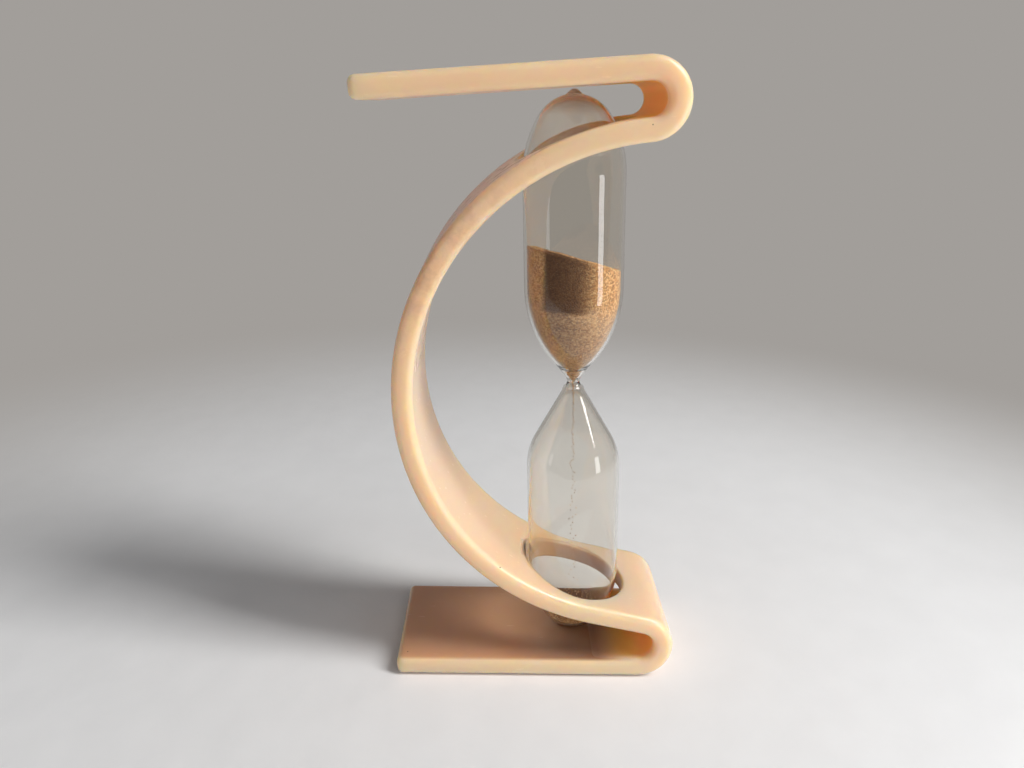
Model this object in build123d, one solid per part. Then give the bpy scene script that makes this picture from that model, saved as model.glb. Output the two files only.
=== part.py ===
"""Sand timer: a fused glass ampoule of two bulbs, held in a stand bent from one strip of plastic.

Millimetres, +Z up.  The strip is drawn as its middle line in the XZ plane, and its width runs
along Y.  The base plate lies on Z = 0, and the whole object is centred over the origin.
"""

import os
from math import atan2, cos, degrees, radians, sin, tan

from build123d import *

# ------------------------------------------------------------------ sizes of the bent strip
strip_thickness = 3.0
strip_width = 20.5
base_length = 37.3              # flat part of the base plate, up to the lower fold
top_length = 36.7               # flat part of the top plate, past the upper fold
lower_fold_radius = 2.35        # inside radius of the fold under the vial
upper_fold_radius = 2.1         # inside radius of the fold over the vial
lower_leg_length = 8.3          # straight run between the lower fold and the bow
lower_leg_slope = 12.2          # degrees that this run climbs away from the fold
bow_radius = 34.3               # inside radius of the big round bow
bow_angle = 161.2               # degrees that the bow turns through
top_plate_tilt = 4.9            # degrees that the top plate drops towards its free end
edge_radius = 1.0               # long edges and free corners, softened by polishing

# ------------------------------------------------------------------ sizes of the glass vial
tube_diameter = 14.2
glass_wall = 0.6
vial_lean = 2.5                 # degrees from upright, its top towards the bow
vial_offset = 28.0              # its foot, from the free end of the base plate
hole_clearance = 0.65           # between the glass and each hole, all round
vial_shift = 0.25               # the loose vial leans this far to the bow's side of its holes
foot_clearance = 0.15           # between its foot and the base plate
tip_clearance = 0.25            # between its sealed tip and the top plate
dome_height = 10.5              # each closed end, from the tube to its crown
crown_radius = 5.8              # its rounded crown, which runs into its fuller sides
tip_diameter = 1.3              # sealed tip, where the glass was drawn off
tip_height = 0.6
upper_cone_angle = 45.0         # half angle of the upper bulb's cone, over the waist
upper_shoulder_share = 0.95     # how much of that cone its long round shoulder takes
upper_waist_radius = 1.85       # where the cone meets the thick glass of the neck
upper_waist_height = 1.9        # above the middle of the neck
lower_cone_angle = 29.5
lower_shoulder_share = 0.214
lower_waist_radius = 1.35
lower_waist_height = 0.95       # below the middle of the neck
throat_diameter = 1.9           # the neck at its narrowest
throat_half_length = 0.3
throat_blend_radius = 0.6
bore_diameter = 0.7             # fine bore between the two bulbs
neck_shift = 0.95               # the neck's middle, above the middle of the glass

# ------------------------------------------------------------------ sizes of the sand
sand_gap = 0.06                 # between the sand and the glass
sand_depth = 18.3               # sand over the neck, measured on the vial's axis
sand_slope = 18.4               # degrees that its surface falls
sand_heading = 25.0             # direction of that fall, from the open side towards the back
heap_depth = 1.3                # sand that has run through
heap_slope = 25.0
stream_diameter = 0.45


# ------------------------------------------------------------------ the stand
def draw_strip():
    """Middle line of the strip, from the free end of the base plate, and its straight top plate."""
    half = strip_thickness / 2
    with BuildLine() as line:
        base = Line((0, half), (base_length, half))
        fold = JernArc(base @ 1, base % 1, lower_fold_radius + half, 180 - lower_leg_slope)
        leg = Line(fold @ 1, fold @ 1 + (fold % 1) * lower_leg_length)
        bow = JernArc(leg @ 1, leg % 1, bow_radius + half, -bow_angle)
        upper_turn = lower_leg_slope + bow_angle + top_plate_tilt
        fold = JernArc(bow @ 1, bow % 1, upper_fold_radius + half, upper_turn)
        top = Line(fold @ 1, fold @ 1 + (fold % 1) * top_length)
    return line.line, top


def room_for_vial(top):
    """Length from the base plate to the top plate's underside, along the vial's leaning axis."""
    foot = Vector(vial_offset, strip_thickness)
    axis = Vector(-sin(radians(vial_lean)), cos(radians(vial_lean)))
    along = top % 0
    down = Vector(along.Y, -along.X) * (strip_thickness / 2)
    if down.Y > 0:
        down = -down
    reach = top @ 0 + down - foot
    return reach.cross(along).Z / axis.cross(along).Z


def make_stand(line, place, bore_length):
    """The strip with soft edges, cut through both legs along the vial's axis."""
    strip = extrude(Plane.XZ * trace(line, strip_thickness), strip_width / 2, both=True)
    end_corners = [edge for edge in strip.edges().filter_by(GeomType.LINE)
                   if abs(edge.length - strip_thickness) < 1e-4]
    strip = fillet(end_corners, edge_radius)
    strip = fillet(strip.faces().filter_by(Axis.Y).edges(), edge_radius)
    bore_radius = tube_diameter / 2 + hole_clearance
    bore = Cylinder(bore_radius, bore_length, align=(Align.CENTER, Align.CENTER, Align.MIN))
    return strip - place * Pos(vial_shift, 0, lower_fold_radius) * bore


# ------------------------------------------------------------------ the glass vial
def bulb_outline(bulb, inset, neck_radius, blend):
    """Half outline of one bulb, from the middle of the neck at the origin up to its crown.

    bulb is its length, waist radius, waist height, cone angle and shoulder share.  inset is how
    far the outline lies inside the glass's outer surface: nothing for the glass itself, the wall
    for its hollow, and a little more for what lies in it.
    """
    length, waist_radius, waist_height, cone_angle, shoulder_share = bulb
    radius = tube_diameter / 2 - inset
    slope = radians(cone_angle)
    cone_width = tube_diameter / 2 - waist_radius
    cone_top = waist_height + cone_width / tan(slope) + inset * tan(slope / 2)
    shoulder_radius = shoulder_share * cone_width / (sin(slope) * tan(slope / 2))
    waist = (waist_radius - inset * cos(slope), waist_height + inset * sin(slope))
    tube_top = length - dome_height
    rise = dome_height - crown_radius
    reach = tube_diameter / 2 - crown_radius
    side_radius = crown_radius + (reach ** 2 + rise ** 2) / (2 * reach)
    turned = degrees(atan2(rise, side_radius - tube_diameter / 2))
    with BuildLine() as line:
        FilletPolyline(
            (neck_radius, 0), (neck_radius, throat_half_length), waist, (radius, cone_top),
            (radius, tube_top), radius=[blend, 0, shoulder_radius - inset])
        CenterArc((tube_diameter / 2 - side_radius, tube_top), side_radius - inset, 0, turned)
        CenterArc((0, tube_top + rise), crown_radius - inset, turned, 90 - turned)
    return line.wire()


def half_bulb(bulb, inset, neck_radius, blend=0.0):
    """The outline closed along the axis: half of the bulb's section, its crown above its neck."""
    outline = bulb_outline(bulb, inset, neck_radius, blend)
    with BuildSketch() as half:
        with BuildLine():
            add(outline)
            Polyline(outline @ 1, (0, 0), outline @ 0)
        make_face()
    return half.sketch


def half_vial(lower, upper, *wall):
    """Half section of both bulbs, joined at the neck, with the foot at the origin."""
    below = mirror(half_bulb(lower, *wall), Plane.XZ)
    return Pos(0, lower[0]) * (half_bulb(upper, *wall) + below)


def turn(half_section):
    """A half section in the XY plane, stood up and turned about the vertical axis."""
    return revolve(Plane.XZ * half_section, Axis.Z)


def make_glass(lower, upper):
    """Both bulbs fused at the neck and hollow, the upper one closed by its drawn tip."""
    wall = half_vial(lower, upper, 0, throat_diameter / 2, throat_blend_radius)
    tip = Rectangle(tip_diameter / 2, dome_height / 2 + tip_height, align=(Align.MIN, Align.MAX))
    tip = Pos(0, lower[0] + upper[0] + tip_height) * tip
    tip = fillet(tip.vertices().sort_by(Axis.Y)[-2:].sort_by(Axis.X)[-1], tip_diameter * 0.4)
    wall += tip
    wall -= half_vial(lower, upper, glass_wall, bore_diameter / 2)
    return turn(wall)


# ------------------------------------------------------------------ the sand
def make_upper_sand(neck_height, upper):
    """Sand still over the neck, filling the bulb up to a surface that slopes."""
    filling = turn(half_bulb(upper, glass_wall + sand_gap, bore_diameter / 2 - sand_gap))
    wide = 4 * tube_diameter
    over = Box(wide, wide, wide, align=(Align.CENTER, Align.CENTER, Align.MIN))
    filling -= Pos(0, 0, sand_depth) * Rot(0, 0, sand_heading) * Rot(0, sand_slope, 0) * over
    return Pos(0, 0, neck_height) * filling


def make_lower_sand(lower):
    """The small heap that has run through, resting in the round foot of the lower bulb."""
    inset = glass_wall + sand_gap
    filling = turn(half_bulb(lower, inset, bore_diameter / 2 - sand_gap))
    filling = Pos(0, 0, lower[0]) * Rot(180, 0, 0) * filling
    foot_radius = (heap_depth + inset) / tan(radians(heap_slope))
    heap = Cone(foot_radius, 0, heap_depth + inset, align=(Align.CENTER, Align.CENTER, Align.MIN))
    return filling & heap


def make_stream(neck_height):
    """The thread of sand that falls from the neck onto the heap."""
    heap_top = glass_wall + 2 * sand_gap + heap_depth
    thread = Cylinder(stream_diameter / 2, neck_height - heap_top,
                      align=(Align.CENTER, Align.CENTER, Align.MIN))
    return Pos(0, 0, heap_top) * thread


def main():
    line, top = draw_strip()
    room = room_for_vial(top)
    glass_length = room - foot_clearance - tip_clearance - tip_height
    neck_height = glass_length / 2 + neck_shift
    lower = (neck_height, lower_waist_radius, lower_waist_height, lower_cone_angle,
             lower_shoulder_share)
    upper = (glass_length - neck_height, upper_waist_radius, upper_waist_height,
             upper_cone_angle, upper_shoulder_share)
    seat = Pos(vial_offset, 0, strip_thickness) * Rot(0, -vial_lean, 0)
    place = seat * Pos(0, 0, foot_clearance)
    nodes = {
        "stand": make_stand(line, seat, room - 2 * lower_fold_radius),
        "glass_vial": place * make_glass(lower, upper),
        "sand_upper": place * make_upper_sand(neck_height, upper),
        "sand_lower": place * make_lower_sand(lower),
        "sand_stream": place * make_stream(neck_height),
    }
    middle = nodes["stand"].bounding_box().center().X
    os.makedirs("parts", exist_ok=True)
    for name, part in nodes.items():
        export_step(Pos(-middle, 0, 0) * part, f"parts/{name}.step")


main()
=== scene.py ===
"""Looks of the sand timer: a blown glass vial of sand in a stand bent from one strip of plastic.

Sizes are in millimetres and lie in the solids' own frame; a mesh gets them in metres.
"""

import math

import bmesh
import bpy
import numpy as np
from mathutils import Matrix, Vector


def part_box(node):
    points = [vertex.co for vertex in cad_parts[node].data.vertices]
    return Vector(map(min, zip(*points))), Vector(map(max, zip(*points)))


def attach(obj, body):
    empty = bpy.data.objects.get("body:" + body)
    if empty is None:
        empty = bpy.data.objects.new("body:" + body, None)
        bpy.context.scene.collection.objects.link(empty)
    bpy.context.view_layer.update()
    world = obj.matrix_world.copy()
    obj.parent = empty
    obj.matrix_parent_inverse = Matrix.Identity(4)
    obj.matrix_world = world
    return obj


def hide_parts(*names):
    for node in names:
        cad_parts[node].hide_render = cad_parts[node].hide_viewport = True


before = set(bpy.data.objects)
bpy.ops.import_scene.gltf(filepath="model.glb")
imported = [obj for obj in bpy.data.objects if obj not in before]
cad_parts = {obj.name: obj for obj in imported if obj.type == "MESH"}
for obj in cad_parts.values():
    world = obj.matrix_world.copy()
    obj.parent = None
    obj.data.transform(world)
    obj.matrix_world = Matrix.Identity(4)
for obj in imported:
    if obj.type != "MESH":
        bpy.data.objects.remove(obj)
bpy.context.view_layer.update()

MM = 0.001
chance = np.random.default_rng(7)

# ------------------------------------------------------------------ sizes of the bent strip
strip_thickness = 3.0
strip_width = 20.5
base_length = 37.3
top_length = 36.7
lower_fold_radius = 2.35
upper_fold_radius = 2.1
lower_leg_length = 8.3
lower_leg_slope = 12.2
bow_radius = 34.3
bow_angle = 161.2
top_plate_tilt = 4.9
edge_radius = 1.0
rim_radius = 0.45               # worn edge round both holes
broad_columns = 48              # grid steps across the strip's flat
edge_columns = 7                # grid lines round each soft edge
straight_pace = 2.0             # longest grid step along a straight run
curved_pace = 1.2               # and along a curved one, which also turns
turn_pace = 0.09                # no more than this many radians in a step
patch_margin = 0.35             # how far the square round a hole reaches past the strip's flat
patch_rows = 53                 # grid lines along that square

# ------------------------------------------------------------------ sizes of the glass vial
tube_diameter = 14.2
glass_wall = 0.4                # drawn thin, as a blown tube is
vial_lean = 2.5
vial_offset = 28.0
hole_clearance = 0.65
vial_shift = 0.25
foot_clearance = 0.15
tip_clearance = 0.25
dome_height = 10.5
crown_radius = 5.8
tip_height = 0.6
tip_radius = 0.15               # blunt end of the drawn tip
tip_reach = 1.35                # where the tip runs out into the crown
throat_diameter = 1.9
throat_half_length = 0.3
throat_blend_radius = 0.6
bore_diameter = 0.7
neck_shift = 0.95
bead_rise = 0.16                # bead of thicker glass round each waist

# waist radius, waist height from the neck's middle, cone half angle, and how much of the cone
# its round shoulder takes
upper_bulb = (1.85, 1.9, 45.0, 0.95)
lower_bulb = (1.35, 0.95, 29.5, 0.214)
# middle and width of each bead, over the neck's middle
beads = ((upper_bulb[1] - 0.15, 0.55), (-lower_bulb[1], 0.4))

# ------------------------------------------------------------------ sizes of the sand
sand_gap = 0.06
sand_depth = 18.3
sand_slope = 18.4
sand_heading = 25.0
sand_ripples = (                # height, waves along x and along y in radians per mm, phase
    (0.07, 1.3, 0.6, 0.0), (0.05, -0.9, 2.1, 1.0))
heap_depth = 1.3
heap_slope = 25.0
heap_rounding = 0.75            # radius of the heap's blunt peak
heap_lift = 0.35                # makes up for the height that the rounding costs
heap_reach = 4.6                # how far from the axis its loose grains lie
grain_size = 0.2
grain_squeeze = (0.75, 1.2)     # a grain's sides, as shares of grain_size
grain_bed = (-0.08, 0.05)       # how far a loose grain sinks into the surface or stands out
shaded_wall_tone = 0.8                 # painted shade: grains against the glass, on the sand's unlit sides, made darker
loose_tone = 1.2

half = strip_thickness / 2
broad_half = strip_width / 2 - edge_radius
lean = math.radians(vial_lean)
axis = np.array([-math.sin(lean), math.cos(lean)])
across = np.array([math.cos(lean), math.sin(lean)])
fold_reach = base_length + lower_fold_radius + strip_thickness
origin_x = fold_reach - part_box("stand")[1].x / MM


# ------------------------------------------------------------------ mesh helpers
def new_piece(name, points, faces, material, smooth=True):
    """A mesh object at the origin from millimetre points and faces, with its material."""
    mesh = bpy.data.meshes.new(name)
    mesh.from_pydata((np.asarray(points) * MM).tolist(), [], [list(f) for f in faces])
    mesh.polygons.foreach_set("use_smooth", np.full(len(mesh.polygons), smooth))
    mesh.materials.append(material)
    mesh.update()
    piece = bpy.data.objects.new(name, mesh)
    bpy.context.scene.collection.objects.link(piece)
    return piece


def grid_faces(rows, columns, closed=False, first=0):
    """Quads of a grid of points kept row by row; closed joins the last column to the first."""
    numbers = np.arange(rows * columns).reshape(rows, columns) + first
    if closed:
        numbers = np.hstack([numbers, numbers[:, :1]])
    corners = [numbers[:-1, :-1], numbers[:-1, 1:], numbers[1:, 1:], numbers[1:, :-1]]
    return np.stack(corners, -1).reshape(-1, 4)


def shell(rows, inward=False):
    """A closed skin: rings of points, row by row, whose first and last rows shrink to a pole.

    Faces look away from the axis, or towards it for the wall of a hollow.
    """
    count, columns = rows.shape[:2]
    points = np.vstack([rows[1:-1].reshape(-1, 3), rows[0].mean(0), rows[-1].mean(0)])
    quads = grid_faces(count - 2, columns, closed=True)
    ring = np.arange(columns)
    ahead = np.roll(ring, -1)
    top = (count - 3) * columns
    low_pole, high_pole = len(points) - 2, len(points) - 1
    low = np.stack([np.full(columns, low_pole), ahead, ring], -1)
    high = np.stack([top + ring, top + ahead, np.full(columns, high_pole)], -1)
    faces = quads.tolist() + low.tolist() + high.tolist()
    if inward:
        faces = [f[::-1] for f in faces]
    return points, faces


def joined(parts):
    """Several (points, faces) pairs as one."""
    points, faces, first = [], [], 0
    for some, these in parts:
        points.append(some)
        faces += [[n + first for n in f] for f in these]
        first += len(some)
    return np.vstack(points), faces


def stood(points):
    """Points round the vial's own axis, foot at zero, set in the leaning vial's place."""
    x, y, z = np.moveaxis(points, -1, 0)
    z = z + foot_clearance
    along_x = vial_offset - origin_x + x * across[0] + z * axis[0]
    return np.stack([along_x, y, strip_thickness + x * across[1] + z * axis[1]], -1)


# ------------------------------------------------------------------ the strip's middle line
def list_runs():
    """Each run of the middle line, from the base plate's free end: its length and left turn."""
    lower = math.radians(180 - lower_leg_slope)
    bow = math.radians(bow_angle)
    upper = math.radians(lower_leg_slope + bow_angle + top_plate_tilt)
    return [
        (base_length, 0.0),
        ((lower_fold_radius + half) * lower, lower),
        (lower_leg_length, 0.0),
        ((bow_radius + half) * bow, -bow),
        ((upper_fold_radius + half) * upper, upper),
        (top_length, 0.0),
    ]


runs = list_runs()
joins = np.cumsum([0.0] + [length for length, turn in runs])
strip_length = joins[-1]


def along(s):
    """x, z and heading of the middle line at arc length s.

    Each run adds its share: a straight step, or the chord of the arc turned so far.
    """
    x, z, heading, start = np.zeros_like(s), np.full_like(s, half), np.zeros_like(s), 0.0
    for (length, turn), begin in zip(runs, joins):
        walked = np.clip(s - begin, 0, length)
        if turn:
            bend_rate = turn / length
            now = start + bend_rate * walked
            x = x + (np.sin(now) - math.sin(start)) / bend_rate
            z = z - (np.cos(now) - math.cos(start)) / bend_rate
        else:
            x, z = x + walked * math.cos(start), z + walked * math.sin(start)
        heading = heading + turn * walked / length
        start += turn
    return x, z, heading


def bent(s, w, n):
    """Points at arc length s, w across the strip and n to the left of its middle line."""
    x, z, heading = along(s)
    return np.stack([x - n * np.sin(heading) - origin_x, w, z + n * np.cos(heading)], -1)


def stations(start, end):
    """Arc lengths from start to end, closer together where the strip bends tightly."""
    marks = [start] + [j for j in joins if start < j < end] + [end]
    steps = []
    for a, b in zip(marks[:-1], marks[1:]):
        run = min(np.searchsorted(joins, (a + b) / 2) - 1, len(runs) - 1)
        length, turn = runs[run]
        pace = min(curved_pace, turn_pace * length / abs(turn)) if turn else straight_pace
        steps.append(np.linspace(a, b, max(2, math.ceil((b - a) / pace) + 1))[:-1])
    return np.append(np.concatenate(steps), end)


# ------------------------------------------------------------------ the stand
def plate_half(s):
    """Half width of the strip at arc length s, drawn in round the corners of its free ends."""
    inside = np.clip(np.minimum(s, strip_length - s), 0, edge_radius)
    drawn_in = edge_radius - np.sqrt(edge_radius ** 2 - (edge_radius - inside) ** 2)
    return strip_width / 2 - drawn_in


def face_height(s, w):
    """Height of the strip's face over its middle line: half its thickness, less a quarter
    round that starts edge_radius inside the outline, whose corners are round themselves."""
    from_end = np.minimum(s, strip_length - s)
    from_side = strip_width / 2 - np.abs(w)
    near = np.minimum(from_end, from_side)
    gap = np.hypot(edge_radius - np.minimum(from_end, edge_radius),
                   edge_radius - np.minimum(from_side, edge_radius))
    cornered = (from_end < edge_radius) & (from_side < edge_radius)
    inside = np.clip(np.where(cornered, edge_radius - gap, near), 0, edge_radius)
    return half - edge_radius + np.sqrt(edge_radius ** 2 - (edge_radius - inside) ** 2)


turns = np.sin(np.linspace(0, math.pi / 2, edge_columns))


def broad_band(where, side):
    """Grid over the flat of one face: side is 1 for the left of the line, -1 for its right."""
    share = np.linspace(-1, 1, broad_columns + 1)
    s, share = np.meshgrid(where, share, indexing="ij")
    w = share * (plate_half(s) - edge_radius)
    return bent(s, w, side * face_height(s, w)), len(where), broad_columns + 1


def edge_band(where, side):
    """Grid round one long edge, from the left face over the edge's flat to the right face."""
    s, reach = np.meshgrid(where, edge_radius * (turns - 1), indexing="ij")
    w = side * (plate_half(s) + reach)
    height = face_height(s, w)
    height[:, -1] = half - edge_radius
    level = np.zeros((len(where), 1))
    n = np.hstack([height, level, -height[:, ::-1]])
    w = np.hstack([w, w[:, -1:], w[:, ::-1]])
    s = np.repeat(s[:, :1], n.shape[1], 1)
    return bent(s, w, n), len(where), n.shape[1]


def end_band(s):
    """Grid over the small flat at one free end of the strip."""
    reach = plate_half(np.array(s)) - edge_radius
    flat = np.linspace(-1, 1, broad_columns + 1) * reach
    side = reach + edge_radius * turns[1:]
    w = np.concatenate([-side[::-1], flat, side])
    n, w = np.meshgrid(np.array([1.0, 0.0, -1.0]) * (half - edge_radius), w, indexing="ij")
    return bent(np.full_like(w, s), w, n), 3, w.shape[1]


def bore_centre(start, end):
    """Arc length between start and end at which the bore's axis crosses the middle line."""
    s = np.linspace(start, end, 4001)
    x, z, _ = along(s)
    aside = (x - vial_offset) * across[0] + (z - strip_thickness) * across[1] - vial_shift
    return s[np.abs(aside).argmin()]


def bore_edge(centre, n, angle):
    """Where the bore's round wall cuts the sheet that lies n beside the middle line.

    A point of the wall climbs along the bore's axis, and its foot on the line slides by less
    than it should, so that both settle, until its distance from the line is n. Returns arc
    length and place across the strip.
    """
    x, z, heading = along(np.array(centre))
    way = 1 if math.cos(heading) * across[0] + math.sin(heading) * across[1] > 0 else -1
    radius = tube_diameter / 2 + hole_clearance
    n, angle = np.broadcast_arrays(n, angle)
    aside = vial_shift + way * radius * np.cos(angle)
    climb = np.full(n.shape, (x - vial_offset) * axis[0] + (z - strip_thickness) * axis[1])
    s = centre + radius * np.cos(angle)
    for _ in range(40):
        px = vial_offset + aside * across[0] + climb * axis[0]
        pz = strip_thickness + aside * across[1] + climb * axis[1]
        x, z, heading = along(s)
        cos, sin = np.cos(heading), np.sin(heading)
        beside = (pz - z) * cos - (px - x) * sin
        s = s + 0.8 * ((px - x) * cos + (pz - z) * sin)
        climb = climb + (n - beside) / (axis[1] * cos - axis[0] * sin)
    return s, radius * np.sin(angle)


def hole_band(centre, where):
    """Grid from the left face, over the worn rim, down the bore and out to the right face.

    Its outermost ring is the frame of the flat round the hole; each ring further in blends
    that frame with the hole's own edge. Then the rim's rings turn a quarter round, and the
    wall's rings go straight down; the right face has the same rings in reverse.
    """
    w = np.linspace(-broad_half, broad_half, broad_columns + 1)
    count = len(where) - 1
    frame_s = np.concatenate([np.full(broad_columns, where[-1]), where[:0:-1],
                              np.full(broad_columns, where[0]), where[:-1]])
    frame_w = np.concatenate([w[:-1], np.full(count, w[-1]), w[:0:-1], np.full(count, w[0])])
    angle = np.arctan2(frame_w, frame_s - centre)

    blend = np.linspace(0, 1, 9) ** 0.8
    face = np.ones(len(blend))
    turn = np.linspace(0, math.pi / 2, 7)[1:]
    wall = np.linspace(half - rim_radius, 0, 4)[1:]
    n = np.concatenate([half * face, half - rim_radius * (1 - np.cos(turn)), wall])
    outset = np.concatenate([rim_radius * face, rim_radius * (1 - np.sin(turn)), 0 * wall])
    blend = np.concatenate([blend, np.ones(len(turn) + len(wall))])
    n = np.concatenate([n, -n[-2::-1]])[:, None]
    outset = np.concatenate([outset, outset[-2::-1]])[:, None]
    blend = np.concatenate([blend, blend[-2::-1]])[:, None]

    s, w = bore_edge(centre, n, angle[None, :])
    out_s, out_w = s - s.mean(1, keepdims=True), w
    size = np.hypot(out_s, out_w)
    s = blend * (s + outset * out_s / size) + (1 - blend) * frame_s
    w = blend * (w + outset * out_w / size) + (1 - blend) * frame_w
    return bent(s, w, n + 0 * s), s.shape[0], s.shape[1]


def make_stand(material):
    """The whole strip: bands of grid for its faces, edges, ends and bores, welded together."""
    middle_of_bow = (joins[3] + joins[4]) / 2
    lower, upper = bore_centre(joins[2], middle_of_bow), bore_centre(middle_of_bow, joins[4])
    patch_half = broad_half + patch_margin
    patches = [np.linspace(c - patch_half, c + patch_half, patch_rows) for c in (lower, upper)]
    ease = edge_radius * (1 - np.cos(np.linspace(0, math.pi / 2, 9)))
    first = np.concatenate([ease[:-1], stations(edge_radius, patches[0][0])])
    middle = stations(patches[0][-1], patches[1][0])
    last = stations(patches[1][-1], strip_length - edge_radius)
    last = np.concatenate([last, strip_length - ease[-2::-1]])
    every = np.concatenate([first, patches[0][1:-1], middle, patches[1][1:-1], last])

    grids = [broad_band(where, side) for where in (first, middle, last) for side in (1, -1)]
    grids += [edge_band(every, side) for side in (1, -1)]
    grids += [end_band(s) for s in (0.0, strip_length)]
    parts = [(grid.reshape(-1, 3), grid_faces(rows, columns)) for grid, rows, columns in grids]
    for centre, where in ((lower, patches[0]), (upper, patches[1])):
        grid, rows, columns = hole_band(centre, where)
        parts.append((grid.reshape(-1, 3), grid_faces(rows, columns, closed=True)))
    piece = new_piece("bent_strip", *joined(parts), material)
    skin = bmesh.new()
    skin.from_mesh(piece.data)
    bmesh.ops.remove_doubles(skin, verts=skin.verts, dist=0.002 * MM)
    bmesh.ops.recalc_face_normals(skin, faces=skin.faces)
    skin.to_mesh(piece.data)
    skin.free()
    return piece


# ------------------------------------------------------------------ the glass vial
def room_for_vial():
    """Length from the base plate to the top plate's underside along the vial's axis."""
    x, z, heading = along(np.array(joins[5]))
    under = np.array([x - half * math.sin(heading), z + half * math.cos(heading)])
    run = np.array([math.cos(heading), math.sin(heading)])
    reach = under - np.array([vial_offset, strip_thickness])
    return (reach[0] * run[1] - reach[1] * run[0]) / (axis[0] * run[1] - axis[1] * run[0])


glass_length = room_for_vial() - foot_clearance - tip_clearance - tip_height
neck_height = glass_length / 2 + neck_shift
upper_length = glass_length - neck_height


def arc(centre, radius, start, end, count):
    """Points (radius from the axis, height) on an arc between two angles in radians."""
    angle = np.linspace(start, end, count)
    return np.stack([centre[0] + radius * np.cos(angle), centre[1] + radius * np.sin(angle)], -1)


def eased(before, corner, after, radius, count):
    """The arc that swings round one corner of an outline and touches both its runs."""
    before, corner, after = (np.array(p, float) for p in (before, corner, after))
    arriving = (corner - before) / np.linalg.norm(corner - before)
    leaving = (after - corner) / np.linalg.norm(after - corner)
    turned = math.atan2(arriving[0] * leaving[1] - arriving[1] * leaving[0], arriving @ leaving)
    side = math.copysign(1, turned)
    begin = corner - arriving * radius * math.tan(abs(turned) / 2)
    centre = begin + side * radius * np.array([-arriving[1], arriving[0]])
    start = math.atan2(begin[1] - centre[1], begin[0] - centre[0])
    return arc(centre, radius, start, start + turned, count)


def bulb_outline(length, bulb, inset, neck_radius, blend=0.0):
    """Outline of one bulb from the middle of its neck to its crown: throat, waist, cone,
    shoulder, tube, full side and round crown. inset is how far it lies inside the glass."""
    waist_radius, waist_height, cone_angle, shoulder_share = bulb
    radius, slope = tube_diameter / 2 - inset, math.radians(cone_angle)
    cone_width = tube_diameter / 2 - waist_radius
    cone_top = waist_height + cone_width / math.tan(slope) + inset * math.tan(slope / 2)
    shoulder_radius = shoulder_share * cone_width / (math.sin(slope) * math.tan(slope / 2))
    tube_top = length - dome_height
    rise, reach = dome_height - crown_radius, tube_diameter / 2 - crown_radius
    side_radius = crown_radius + (reach ** 2 + rise ** 2) / (2 * reach)
    turned = math.atan2(rise, side_radius - tube_diameter / 2)
    neck, throat = (neck_radius, 0), (neck_radius, throat_half_length)
    waist = (waist_radius - inset * math.cos(slope), waist_height + inset * math.sin(slope))
    high, top = (radius, cone_top), (radius, tube_top)
    parts = [np.array([neck], float)]
    parts.append(eased(neck, throat, waist, blend, count=10) if blend
                 else np.array([throat], float))
    shoulder = eased(waist, high, top, shoulder_radius - inset, count=28)
    side_centre = (tube_diameter / 2 - side_radius, tube_top)
    side = arc(side_centre, side_radius - inset, 0, turned, count=14)
    crown = arc((0, tube_top + rise), crown_radius - inset, turned, math.pi / 2, count=40)
    straight = np.linspace(0, 1, 24)[1:-1, None]
    parts.append(parts[1][-1] + (np.array(waist) - parts[1][-1]) * straight)
    parts.append(np.array(waist) + (shoulder[0] - waist) * straight)
    parts.append(shoulder)
    parts.append(shoulder[-1] + (side[0] - shoulder[-1]) * straight)
    outline = np.vstack(parts + [side, crown[1:]])
    outline[-1, 0] = 0
    return outline


def turned_rows(outline, count=128):
    """An outline carried round the axis: rows of points, one row per outline point."""
    angle = np.arange(count) * 2 * math.pi / count
    radius, height = outline[:, :1], outline[:, 1:]
    return np.stack([radius * np.cos(angle), radius * np.sin(angle), height + 0 * angle], -1)


def vial_outline(inset, neck_radius, blend=0.0):
    """Both bulbs' outlines joined at the neck, from the foot up to the crown."""
    upper = bulb_outline(upper_length, upper_bulb, inset, neck_radius, blend)
    lower = bulb_outline(neck_height, lower_bulb, inset, neck_radius, blend)
    return np.vstack([lower[:0:-1] * [1, -1], upper]) + [0, neck_height]


def make_glass(material):
    """Outside and hollow of the vial: a bead round each waist, and a tip drawn out on top."""
    outside = vial_outline(0, throat_diameter / 2, throat_blend_radius)
    over_neck = outside[:, 1] - neck_height
    for middle, width in beads:
        outside[:, 0] += bead_rise * np.exp(-((over_neck - middle) / width) ** 2)
    share = np.clip(1 - (outside[:, 0] - tip_radius) / (tip_reach - tip_radius), 0, 1)
    crown = outside[:, 1] > glass_length - crown_radius
    outside[:, 1] += np.where(crown, tip_height * share ** 2 * (3 - 2 * share), 0)
    hollow = vial_outline(glass_wall, bore_diameter / 2)
    points, faces = joined([shell(turned_rows(outside)), shell(turned_rows(hollow), inward=True)])
    return new_piece("glass_vial_blown", stood(points), faces, material)


# ------------------------------------------------------------------ the sand
def sand_space(length, bulb):
    """Outline of the space for sand in a bulb, just inside its wall."""
    return bulb_outline(length, bulb, glass_wall + sand_gap, bore_diameter / 2 - sand_gap)


def hollow_radius(height):
    """Radius of the upper bulb's space for sand at heights over the neck's middle."""
    wide = sand_space(upper_length, upper_bulb)
    return np.interp(height, wide[:, 1], wide[:, 0])


def sand_level(x, y):
    """Height of the sand over the neck's middle: a slope with low ripples."""
    heading = math.radians(sand_heading)
    fall = math.tan(math.radians(sand_slope)) * (x * math.cos(heading) + y * math.sin(heading))
    ripple = sum(high * np.sin(along_x * x + along_y * y + phase)
                 for high, along_x, along_y, phase in sand_ripples)
    return sand_depth - fall + ripple


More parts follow.
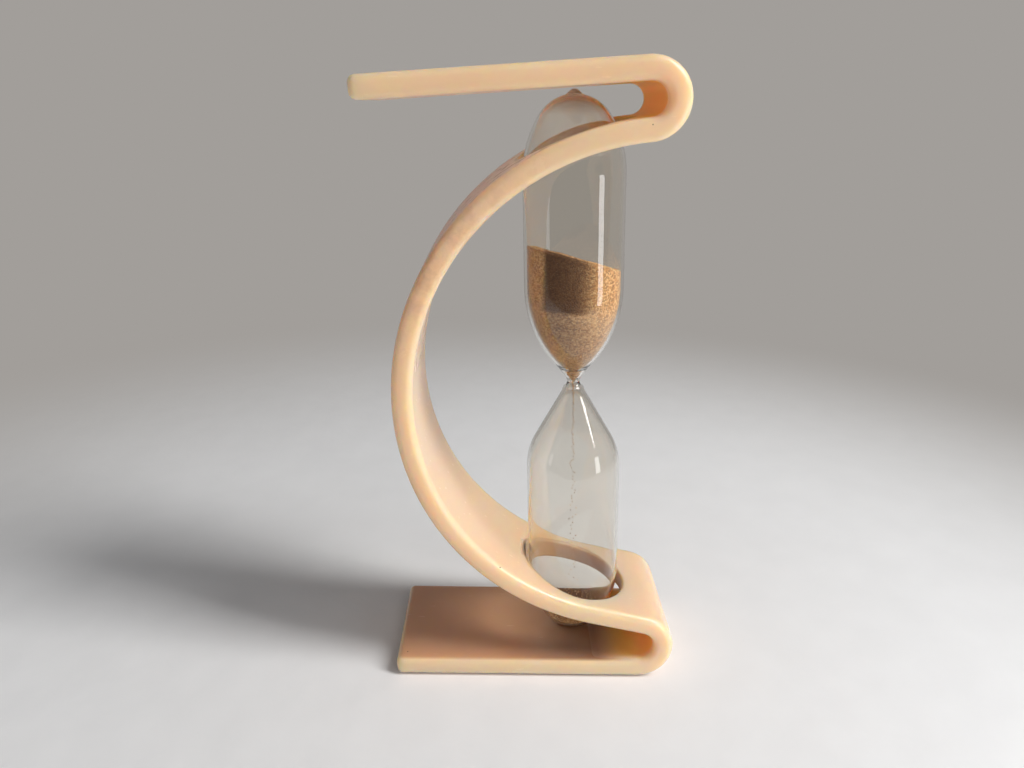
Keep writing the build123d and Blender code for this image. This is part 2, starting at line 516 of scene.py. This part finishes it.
def make_upper_sand(material, count=160, rows=90):
    """Filling of the upper bulb: rows up its wall to the sloping surface, then in to a pole."""
    angle = np.arange(count) * 2 * math.pi / count
    wide = tube_diameter / 2 - glass_wall - sand_gap
    rim = sand_level(wide * np.cos(angle), wide * np.sin(angle))
    height = np.linspace(0.02, 1, rows)[:, None] * rim
    radius = hollow_radius(height)
    wall = np.stack([radius * np.cos(angle), radius * np.sin(angle), height], -1)
    share = np.linspace(1, 0, 40)[1:, None]     # from the wall in to the middle of the surface
    x, y = share * wide * np.cos(angle), share * wide * np.sin(angle)
    top = np.stack([x, y, sand_level(x, y)], -1)
    foot = np.repeat([[[0, 0, 0.1]]], count, 1)     # the pole that closes it in the neck
    points, faces = shell(np.vstack([foot, wall, top]))
    return new_piece("sand_filling", stood(points + [0, 0, neck_height]), faces, material)


def heap_level(radius):
    """Height of the heap over the foot: a cone with a rounded peak."""
    slope = math.tan(math.radians(heap_slope))
    peak = glass_wall + sand_gap + heap_depth + heap_lift
    return peak - slope * np.hypot(radius, heap_rounding)


def heap_floor(radius):
    """Height of the hollow's round floor at radii from the axis."""
    wide = sand_space(neck_height, lower_bulb)
    crown = wide[wide[:, 1] > neck_height - dome_height]
    return neck_height - np.interp(radius, crown[::-1, 0], crown[::-1, 1])


def make_heap(material, count=96):
    """The run-through sand: the hollow's round floor, up to a cone's surface and its peak."""
    reach = np.linspace(0, 5, 2001)
    edge = reach[np.argmin(np.abs(heap_level(reach) - heap_floor(reach)))]
    radius = np.concatenate([np.linspace(0, edge, 20), np.linspace(edge, 0, 30)[1:]])
    height = np.concatenate([heap_floor(radius[:20]), heap_level(radius[20:])])
    points, faces = shell(turned_rows(np.stack([radius, height], -1), count))
    return new_piece("sand_heap", stood(points), faces, material)


def grain_solid():
    """The twelve corners and twenty faces of an icosahedron of radius one."""
    golden = (1 + 5 ** 0.5) / 2
    signs = [(a, b * golden) for a in (-1, 1) for b in (-1, 1)]
    corners = [(0, a, b) for a, b in signs] + [(a, b, 0) for a, b in signs]
    corners += [(b, 0, a) for a, b in signs]
    corners = np.array(corners) / math.hypot(1, golden)
    away = np.linalg.norm(corners[:, None] - corners[None], axis=-1)
    near = (away > 0) & (away < 1.2)    # neighbours are 1.05 apart
    faces = []
    for a in range(12):
        for b in range(a + 1, 12):
            for c in range(b + 1, 12):
                if near[a, b] and near[b, c] and near[a, c]:
                    turn = np.cross(corners[b] - corners[a], corners[c] - corners[a])
                    faces.append((a, b, c) if turn @ corners[a] > 0 else (a, c, b))
    return corners, np.array(faces)


def scatter_grains(name, centres, material, dark=0):
    """One small rough solid at each centre, squeezed and turned at random, with its own tone.

    The first few, dark of them, lie against the glass, where they are made darker as painted
    shade.
    """
    corners, faces = grain_solid()
    count = len(centres)
    squeeze = chance.uniform(*grain_squeeze, (count, 1, 3)) * grain_size / 2
    spin = chance.normal(size=(count, 4))
    spin /= np.linalg.norm(spin, axis=1, keepdims=True)
    w, x, y, z = spin.T
    turn = np.array([
        [1 - 2 * (y * y + z * z), 2 * (x * y - w * z), 2 * (x * z + w * y)],
        [2 * (x * y + w * z), 1 - 2 * (x * x + z * z), 2 * (y * z - w * x)],
        [2 * (x * z - w * y), 2 * (y * z + w * x), 1 - 2 * (x * x + y * y)],
    ]).transpose(2, 0, 1)
    points = centres[:, None] + np.einsum("gij,gkj->gki", turn, corners[None] * squeeze)
    faces = faces[None] + len(corners) * np.arange(count)[:, None, None]
    piece = new_piece(name, points.reshape(-1, 3), faces.reshape(-1, 3), material, smooth=False)
    tone = piece.data.attributes.new("grain_tone", "FLOAT", "POINT")
    tones = chance.random(count) * np.where(np.arange(count) < dark, shaded_wall_tone, loose_tone)
    tone.data.foreach_set("value", np.repeat(tones, len(corners)).astype(np.float32))
    return piece


def upper_grain_places(count_wall=6600, count_top=2800):
    """Random places of grains against the wall and on the surface of the upper sand."""
    inset = 0.5 * grain_size
    angle = chance.uniform(0, 2 * math.pi, count_wall)
    radius = tube_diameter / 2 - glass_wall - sand_gap - inset
    rim = sand_level(radius * np.cos(angle), radius * np.sin(angle))
    weight = np.linspace(0, 1, 400) * sand_depth
    spread = np.cumsum(hollow_radius(weight))
    height = np.interp(chance.random(count_wall), spread / spread[-1], weight / sand_depth) * rim
    wide = hollow_radius(height) - inset
    wall = np.stack([wide * np.cos(angle), wide * np.sin(angle), height - 0.5 * inset], -1)
    angle = chance.uniform(0, 2 * math.pi, count_top)
    out = radius * np.sqrt(chance.random(count_top))
    x, y = out * np.cos(angle), out * np.sin(angle)
    top = np.stack([x, y, sand_level(x, y) + chance.uniform(*grain_bed, count_top)], -1)
    return stood(np.vstack([wall, top]) + [0, 0, neck_height]), len(wall)


def heap_grain_places(count=700):
    """Random places of grains on the heap and strewn round its foot."""
    angle = chance.uniform(0, 2 * math.pi, count)
    out = heap_reach * np.sqrt(chance.random(count))
    height = np.maximum(heap_level(out), heap_floor(out) + 0.5 * grain_size)
    return stood(np.stack([out * np.cos(angle), out * np.sin(angle), height], -1))


def falling_grain_places(count=110):
    """Grains let go at even moments: each has fallen by the square of its time, and strays.

    The first leaves just over the neck's middle, and the last hangs just over the heap.
    """
    over_heap, over_neck = 0.5, 0.2
    spread_at_first, spread_per_fall = 0.05, 0.012
    room = neck_height - heap_level(0) - over_heap
    fallen = room * np.linspace(0.02, 1, count) ** 2
    spread = spread_at_first + spread_per_fall * fallen[:, None]
    aside = chance.normal(size=(count, 2)) * spread
    return stood(np.hstack([aside, neck_height + over_neck - fallen[:, None]]))


# ------------------------------------------------------------------ materials
def colour(code):
    """An sRGB hex colour, turned to linear."""
    parts = [int(code[i:i + 2], 16) / 255 for i in (1, 3, 5)]
    return tuple(c / 12.92 if c <= 0.04045 else ((c + 0.055) / 1.055) ** 2.4 for c in parts) + (1,)


def add(tree, kind, inputs=(), **settings):
    """A node of that kind with its settings; each input gets a value or another node's socket."""
    made = tree.nodes.new(kind)
    for name, value in settings.items():
        setattr(made, name, value)
    for name, value in dict(inputs).items():
        if isinstance(value, bpy.types.NodeSocket):
            tree.links.new(value, made.inputs[name])
        else:
            made.inputs[name].default_value = value
    return made


def new_material(name):
    """An empty node material and its Object coordinates."""
    material = bpy.data.materials.new(name)
    material.use_nodes = True
    tree = material.node_tree
    tree.nodes.clear()
    place = add(tree, "ShaderNodeTexCoord").outputs["Object"]
    return material, tree, place


def per(size):
    """Texture scale at which one cell of a pattern is size millimetres wide."""
    return 1 / (size * MM)


def maths(tree, operation, *values, clamp=False):
    """The result of one arithmetic node."""
    return add(tree, "ShaderNodeMath", dict(enumerate(values)),
               operation=operation, use_clamp=clamp).outputs[0]


def ramp(tree, value, start, end, low=0.0, high=1.0, smooth=False):
    """low where value is start, high where it is end, and held beyond both."""
    return add(tree, "ShaderNodeMapRange", {
        "Value": value, "From Min": start, "From Max": end, "To Min": low, "To Max": high,
    }, interpolation_type="SMOOTHSTEP" if smooth else "LINEAR").outputs[0]


def tinted(tree, share, first, second, clamp=False):
    """The colour that goes from first to second with share; each a hex code or a socket."""
    first, second = (colour(c) if isinstance(c, str) else c for c in (first, second))
    return add(tree, "ShaderNodeMix", {0: share, 6: first, 7: second},
               data_type="RGBA", clamp_result=clamp).outputs[2]


def split(tree, place):
    """The X, Y and Z of a place."""
    return add(tree, "ShaderNodeSeparateXYZ", {0: place}).outputs


def stretched(tree, place, scale):
    """A place multiplied by scale, so that a pattern is drawn long where scale is small."""
    return add(tree, "ShaderNodeMapping", {"Vector": place, "Scale": scale}).outputs[0]


def noise(tree, place, size, detail, roughness=0.5):
    """Cloudy values from 0 to 1, in lumps of size millimetres."""
    return add(tree, "ShaderNodeTexNoise", {
        "Vector": place, "Scale": per(size), "Detail": detail, "Roughness": roughness,
    }).outputs["Fac"]


def relief(tree, height, depth, strength, over=None, invert=False):
    """The normal of a surface with bumps of that depth in millimetres, over another normal."""
    inputs = {"Height": height, "Distance": depth * MM, "Strength": strength}
    if over is not None:
        inputs["Normal"] = over
    return add(tree, "ShaderNodeBump", inputs, invert=invert).outputs[0]


def from_origin(tree, place):
    """Distance of a place from the origin."""
    return add(tree, "ShaderNodeVectorMath", {0: place}, operation="LENGTH").outputs["Value"]


def from_point(tree, place, x, z, scale=(1, 1, 1)):
    """Distance from the point x, 0, z in millimetres, each direction multiplied by scale."""
    return from_origin(tree, add(tree, "ShaderNodeMapping", {
        "Vector": place, "Scale": scale,
        "Location": (-x * MM * scale[0], 0, -z * MM * scale[2])}).outputs[0])


def fold_centre(which):
    """x and z of a fold's centre line in the object's frame: 0 the lower fold, 1 the upper."""
    s = joins[1] if which == 0 else joins[4]
    radius = (lower_fold_radius, upper_fold_radius)[which] + half
    x, z, heading = along(np.array(s))
    return float(x - radius * math.sin(heading) - origin_x), float(z + radius * math.cos(heading))


def ivory_plastic():
    """Cast acrylic sheet, heat-bent and flame-polished: cloudy ivory that light soaks into, so
    thin edges shine; soft gloss, faint waves, specks and dirt. The orange inside the folds is
    painted light, and brown painted shade lies beside the upper hole, in the bores and on the base
    plate."""
    material, tree, place = new_material("ivory_acrylic_heat_bent")
    parts = split(tree, place)

    # painted light: orange inside each fold, standing in for light through the sheet; how far off
    # the fold's centre its middle lies, how long it is for its height, where it starts to fade and
    # where it ends; it stops short of the strip's sides
    fold_painted_glows = []
    for which, inward, wide, near, far in ((0, 1.2, 1.6, 1.7, 4.4), (1, 1.0, 1.5, 1.6, 4.2)):
        x, z = fold_centre(which)
        away = from_point(tree, place, x - inward, z, (1 / wide, 0, 1))
        fold_painted_glows.append(ramp(tree, away, near * MM, far * MM, 1.0, 0.0, smooth=True))
    aside = maths(tree, "ABSOLUTE", parts["Y"])
    within = ramp(tree, aside, 8.2 * MM, 9.6 * MM, 1.0, 0.0, smooth=True)
    fold_painted_glow = maths(tree, "MULTIPLY", maths(tree, "MAXIMUM", *fold_painted_glows), within)

    cloud = noise(tree, place, 14, 3.0)
    body = tinted(tree, cloud, "#F2CAA7", "#F5D3B5")
    # painted light: the folds' insides turned bright orange
    body = tinted(tree, fold_painted_glow, body, "#FFCA62")

    # brown streaks on the outside of the bow, beside the upper hole: partly dirt, partly painted
    # shade of the bow's left-facing side
    streak = noise(tree, stretched(tree, place, (0.55, 1.0, 0.55)), 1.5, 5.0, 0.7)
    beside_hole = ramp(tree, from_point(tree, place, -11, 66), 9 * MM, 20 * MM, 0.45, 0.0)
    dirt_and_painted_shade = maths(tree, "MULTIPLY", ramp(tree, streak, 0.42, 0.75), beside_hole)

    # and darker brown on the walls of both bores, but not on the base plate or the top plate:
    # painted shade of the recess round the glass, partly dirt
    bore_place = add(tree, "ShaderNodeMapping", {
        "Vector": place, "Location": ((vial_offset - origin_x) * MM, 0, strip_thickness * MM),
        "Rotation": (0, -lean, 0)}, vector_type="TEXTURE").outputs[0]
    from_axis = from_origin(tree, stretched(tree, bore_place, (1, 1, 0)))
    bore_radius = tube_diameter / 2 + hole_clearance + vial_shift
    in_bore = ramp(tree, from_axis, bore_radius * MM, (bore_radius + 0.35) * MM, 0.55, 0.0)
    for side, height in (("GREATER_THAN", strip_thickness + 1), ("LESS_THAN", 83)):
        in_bore = maths(tree, "MULTIPLY", in_bore, maths(tree, side, parts["Z"], height * MM))
    dirt_and_painted_shade = maths(tree, "MAXIMUM", dirt_and_painted_shade, in_bore)
    # painted shade, partly dirt: the streaks and bore walls tinted brown
    body = tinted(tree, dirt_and_painted_shade, body, "#7E5A3C")

    # painted shade: the base plate's upper face tinted brown, and darker where the leg's shadow
    # falls, a painted shadow; it ends where the fold begins
    flat_end = (base_length - origin_x) * MM
    painted_base_shade = ramp(tree, parts["Z"], 2.7 * MM, 2.95 * MM)
    painted_base_shade = maths(tree, "MULTIPLY", painted_base_shade, maths(tree, "LESS_THAN", parts["Z"], 3.1 * MM))
    ending = ramp(tree, parts["X"], flat_end - 6.0 * MM, flat_end, 0.82, 0.0)
    painted_base_shade = maths(tree, "MULTIPLY", painted_base_shade, ending)
    leg_shadow = ramp(tree, parts["X"], -8 * MM, 12 * MM, smooth=True)
    # painted shade and painted shadow of the leg on the base plate
    body = tinted(tree, painted_base_shade, body, tinted(tree, leg_shadow, "#BE8A66", "#6C3A1C"))

    # specks: dark pits a quarter of a millimetre across, in three of ten cells of 4.5 mm
    pits = add(tree, "ShaderNodeTexVoronoi", {"Vector": place, "Scale": per(4.5)}).outputs
    lot = add(tree, "ShaderNodeSeparateColor", {0: pits["Color"]}).outputs[0]
    specks = maths(tree, "MULTIPLY", ramp(tree, pits["Distance"], 0.018, 0.034, 1.0, 0.0),
                   maths(tree, "LESS_THAN", lot, 0.3))
    body = tinted(tree, specks, body, "#3B2A1C")

    # gloss: polished, but duller in the brown streaks, the bores and inside the folds; hairline
    # scratches
    scratch = noise(tree, stretched(tree, place, (0.12, 1.0, 0.5)), 0.4, 2.0)
    dull = ramp(tree, scratch, 0.69, 0.8, 0.27, 0.28)
    dull = maths(tree, "MULTIPLY_ADD", dirt_and_painted_shade, 0.25, dull)
    dull = maths(tree, "MULTIPLY_ADD", fold_painted_glow, 0.55, dull)
    waves = relief(tree, noise(tree, place, 5.0, 1.0), 0.08, 0.12)
    finish = add(tree, "ShaderNodeBsdfPrincipled", {
        "Base Color": body, "Roughness": dull, "IOR": 1.49,
        "Normal": relief(tree, scratch, 0.004, 0.15, over=waves),
        "Subsurface Weight": 1.0, "Subsurface Scale": 5.0 * MM,
        "Subsurface Radius": (1.0, 0.65, 0.25), "Coat Weight": 0.1, "Coat Roughness": 0.12,
    })
    add(tree, "ShaderNodeOutputMaterial", {"Surface": finish.outputs[0]})
    return material


def clear_glass():
    """Blown soda-lime tube: clear and a little grey, with faint dust and the ripple of its
    drawing, tinted brown at the crown as a painted reflection of the top plate's dark underside,
    and clouded at the drawn tip. Lamps shine through it onto the sand, so a ray that gathers light
    meets a clear surface instead."""
    material, tree, place = new_material("soda_lime_glass_blown")
    dust = ramp(tree, noise(tree, place, 3.0, 4.0), 0.45, 0.8, 0.0, 0.05)
    draw = noise(tree, stretched(tree, place, (1.0, 1.0, 0.15)), 4.0, 1.0)
    height = split(tree, place)["Z"]
    top = strip_thickness + foot_clearance + glass_length
    # painted reflection: the crown tinted brown for the dark underside of the top plate above it
    crown = ramp(tree, height, (top - 3.0) * MM, (top - 0.3) * MM, 0.0, 0.55, smooth=True)
    tip = ramp(tree, height, (top - 0.35) * MM, (top + 0.1) * MM, 1.0, 0.15)
    glass = add(tree, "ShaderNodeBsdfPrincipled", {
        "Base Color": tinted(tree, crown, "#F6F4EF", "#B08A66"), "Roughness": dust,
        "IOR": 1.5, "Transmission Weight": tip, "Normal": relief(tree, draw, 0.05, 0.25)})
    clear = add(tree, "ShaderNodeBsdfTransparent", {"Color": colour("#F8F9F7")})
    ray = add(tree, "ShaderNodeLightPath").outputs
    lighting = maths(tree, "MAXIMUM", ray["Is Shadow Ray"], ray["Is Diffuse Ray"])
    both = add(tree, "ShaderNodeMixShader", {
        0: lighting, 1: glass.outputs[0], 2: clear.outputs[0]})
    add(tree, "ShaderNodeOutputMaterial", {"Surface": both.outputs[0]})
    return material


def tan_sand(name, toned):
    """Fine river sand, sieved and tinted: dry matt grains from cream to brown, a fifth of a
    millimetre across. toned grains carry their own tone; a filling gets cells of that size."""
    material, tree, place = new_material(name)
    cells = add(tree, "ShaderNodeTexVoronoi", {"Vector": place, "Scale": per(grain_size)}).outputs
    if toned:
        tone = add(tree, "ShaderNodeAttribute", attribute_name="grain_tone").outputs["Fac"]
    else:
        lot = add(tree, "ShaderNodeSeparateColor", {0: cells["Color"]}).outputs[0]
        # painted shade: the filling gets the darker wall tone
        tone = maths(tree, "MULTIPLY", lot, shaded_wall_tone)
    body = tinted(tree, ramp(tree, tone, 0.4, 1.0), "#CC8F55", "#FFD8A2")
    body = tinted(tree, ramp(tree, tone, 0.0, 0.42, 1.0, 0.0), body, "#875A35")
    drift = noise(tree, place, 3.0, 2.0)
    body = tinted(tree, ramp(tree, drift, 0.3, 0.8, 0.0, 0.35), body, "#D9B283")

    # painted light and shade: paler to the right, where the window's light falls, and darker below
    # the top, painted shade; middle is the vial's axis, 56 mm up
    parts = split(tree, place)
    middle = vial_offset - origin_x - 56 * math.sin(lean)
    painted_side_light = ramp(tree, parts["X"], (middle - 3.5) * MM, (middle + 6.5) * MM, 0.68, 1.35)
    painted_low_shade = ramp(tree, parts["Z"], 54.0 * MM, 58.5 * MM, 0.76, 1.0, smooth=True)
    body = add(tree, "ShaderNodeVectorMath", {
        0: body, "Scale": maths(tree, "MULTIPLY", painted_side_light, painted_low_shade)}, operation="SCALE").outputs[0]

    # painted shade: a darker patch on the unlit front of the sand, against the glass, over the
    # cone
    painted_front_shade = 0.8
    for side, start, end in (("X", middle - 5.0, middle - 4.2), ("X", middle + 3.6, middle - 0.4),
                             ("Z", 56.7, 57.5), ("Y", -1.5, -3.5)):
        edge = ramp(tree, parts[side], start * MM, end * MM, smooth=True)
        painted_front_shade = maths(tree, "MULTIPLY", painted_front_shade, edge)
    finish = add(tree, "ShaderNodeBsdfPrincipled", {
        "Base Color": tinted(tree, painted_front_shade, body, "#482208", clamp=True),
        "Roughness": ramp(tree, tone, 0.0, 1.0, 0.65, 0.95), "IOR": 1.54,
        "Normal": relief(tree, cells["Distance"], 0.12, 0.6, invert=True)})
    add(tree, "ShaderNodeOutputMaterial", {"Surface": finish.outputs[0]})
    return material


backdrop = "#A29E9A"
dark_room = "#3A3836"
unlit_from, unlit_to = -0.085, -0.11    # y in front of the object, where the lit room ends
fade_from, fade_to = 0.075, 0.21        # metres round it, where the floor turns into backdrop


def seen_ray(tree):
    """1 for a ray that shows a thing to the eye, straight, mirrored or through glass."""
    ray = add(tree, "ShaderNodeLightPath").outputs
    seen = maths(tree, "MAXIMUM", ray["Is Camera Ray"], ray["Is Glossy Ray"])
    return maths(tree, "MAXIMUM", seen, ray["Is Transmission Ray"])


def unlit_side(tree, ahead):
    """1 for a mirrored ray that meets the unlit front side of the room, and less for one that
    leaves through glass; ahead is the y, in metres, of the floor that it meets, or that of
    its direction for the world."""
    ray = add(tree, "ShaderNodeLightPath").outputs
    front = ramp(tree, ahead, unlit_from, unlit_to, smooth=True)
    mirrored = maths(tree, "MULTIPLY_ADD", ray["Is Transmission Ray"], -0.4,
                     ray["Is Glossy Ray"], clamp=True)
    return maths(tree, "MULTIPLY", front, mirrored)


def backdrop_seen(tree, ahead):
    """Backdrop colour, but the dark room where a mirrored ray looks to the front."""
    return tinted(tree, unlit_side(tree, ahead), backdrop, dark_room)


def pale_floor():
    """Limewashed plaster: matt and pale, faintly uneven, running out into the backdrop."""
    material, tree, place = new_material("limewash_floor")
    uneven = noise(tree, place, 9.0, 5.0)
    matt = add(tree, "ShaderNodeBsdfPrincipled", {
        "Base Color": tinted(tree, uneven, "#EBECEE", "#F2F3F5"), "Roughness": 0.9,
        "Specular IOR Level": 0.2, "Normal": relief(tree, uneven, 0.8, 0.25)})
    ahead = split(tree, place)["Y"]
    far = ramp(tree, from_origin(tree, place), fade_from, fade_to, smooth=True)
    far = maths(tree, "MAXIMUM", far, unlit_side(tree, ahead))
    plain = add(tree, "ShaderNodeEmission", {"Color": backdrop_seen(tree, ahead), "Strength": 1.0})
    both = add(tree, "ShaderNodeMixShader", {
        0: maths(tree, "MULTIPLY", far, seen_ray(tree)), 1: matt.outputs[0], 2: plain.outputs[0]})
    add(tree, "ShaderNodeOutputMaterial", {"Surface": both.outputs[0]})
    return material


# ------------------------------------------------------------------ the pieces
plastic, glass = ivory_plastic(), clear_glass()
sand, loose_sand = tan_sand("river_sand_filling", False), tan_sand("river_sand_grains", True)

stand = make_stand(plastic)
vial = make_glass(glass)
filling = make_upper_sand(sand)
heap = make_heap(sand)
thread = scatter_grains("sand_thread", falling_grain_places(), loose_sand)
places, at_wall = upper_grain_places()
grains = scatter_grains("sand_grains_upper", places, loose_sand, dark=at_wall)
heap_grains = scatter_grains("sand_grains_heap", heap_grain_places(), loose_sand)

for piece, body, slot in (
    (stand, "stand", "stand_plastic"),
    (vial, "vial", "clear_glass"),
    (filling, "vial", "sand"),
    (heap, "vial", "sand"),
    (thread, "vial", "sand"),
    (grains, "vial", "sand"),
    (heap_grains, "vial", "sand"),
):
    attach(piece, body)
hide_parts("stand")
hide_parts("glass_vial")
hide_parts("sand_upper")
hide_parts("sand_lower")
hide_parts("sand_stream")
for node, material in (("stand", plastic), ("glass_vial", glass), ("sand_upper", sand),
                       ("sand_lower", sand), ("sand_stream", sand)):
    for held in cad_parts[node].material_slots:
        held.material = material

# ------------------------------------------------------------------ floor, light and camera
floor_reach, floor_height = 3000.0, -0.1
corners = [(x * floor_reach, y * floor_reach, floor_height)
           for x, y in ((-1, -1), (1, -1), (1, 1), (-1, 1))]
floor = new_piece("floor", corners, [(0, 1, 2, 3)], pale_floor())

world = bpy.data.worlds.new("studio")
bpy.context.scene.world = world
world.use_nodes = True
sky = world.node_tree
sky.nodes.clear()
fill = add(sky, "ShaderNodeBackground", {"Color": colour("#F4F4F6"), "Strength": 0.13})
ahead = split(sky, add(sky, "ShaderNodeTexCoord").outputs["Generated"])["Y"]
plain = add(sky, "ShaderNodeBackground", {"Color": backdrop_seen(sky, ahead), "Strength": 1.0})
shown = add(sky, "ShaderNodeMixShader", {
    0: seen_ray(sky), 1: fill.outputs[0], 2: plain.outputs[0]})
add(sky, "ShaderNodeOutputWorld", {"Surface": shown.outputs[0]})

object_middle = Vector((0, 0, 0.045))   # in metres


def softbox(name, azimuth, elevation, distance, width, height, power, tint="#FFFFFF"):
    """An area lamp on a sphere round the object, facing its middle; no ray sees it straight
    or through glass, so it shows only as light and in gloss. Degrees, metres and watts."""
    lamp = bpy.data.lights.new(name, "AREA")
    lamp.shape = "RECTANGLE"
    lamp.size, lamp.size_y = width, height
    lamp.energy = power
    lamp.color = colour(tint)[:3]
    holder = bpy.data.objects.new(name, lamp)
    bpy.context.scene.collection.objects.link(holder)
    a, e = math.radians(azimuth), math.radians(elevation)
    spot = Vector((math.cos(a) * math.cos(e), math.sin(a) * math.cos(e), math.sin(e))) * distance
    holder.location = object_middle + spot
    holder.rotation_euler = (-spot).to_track_quat("-Z", "Y").to_euler()
    holder.visible_camera = False
    holder.visible_transmission = False
    return holder


# a tall window high on the right; the room's light from the front, which no gloss mirrors
softbox("window", -19, 43, 0.80, 0.22, 0.46, 5.7, "#FFFDFA")
room = softbox("room", -72, 30, 0.90, 0.60, 0.40, 1.1, "#FFFDFA")
room.visible_glossy = False
# and two bright stripes for the glass to mirror, one down each side of the vial
softbox("window_slit", -32, -1.0, 0.16, 0.034, 0.070, 0.057)
softbox("window_left_slit", -152, 5.0, 0.16, 0.024, 0.056, 0.009)

camera_data = bpy.data.cameras.new("camera")
camera_data.lens = 28.125
camera_data.sensor_width = 36
camera_data.clip_start = 0.005
camera = bpy.data.objects.new("camera", camera_data)
bpy.context.scene.collection.objects.link(camera)
bpy.context.scene.camera = camera


def aim(place, pitch, yaw, roll):
    """Camera place in millimetres; degrees that it looks down, turns left and tips."""
    p, y, r = (math.radians(v) for v in (pitch, yaw, roll))
    turn = Matrix.Rotation(y, 3, "Z")
    forward = turn @ Vector((0, math.cos(p), -math.sin(p)))
    right = turn @ Vector((math.cos(r), -math.sin(r) * math.sin(p), -math.sin(r) * math.cos(p)))
    up = right.cross(forward)
    pose = Matrix((right, up, -forward)).transposed().to_4x4()
    pose.translation = Vector(place) * MM
    return pose


camera.matrix_world = aim((-4.455, -112.51, 84.27), 19.425, -1.069, -1.331)
bpy.context.scene.view_settings.view_transform = "Standard"
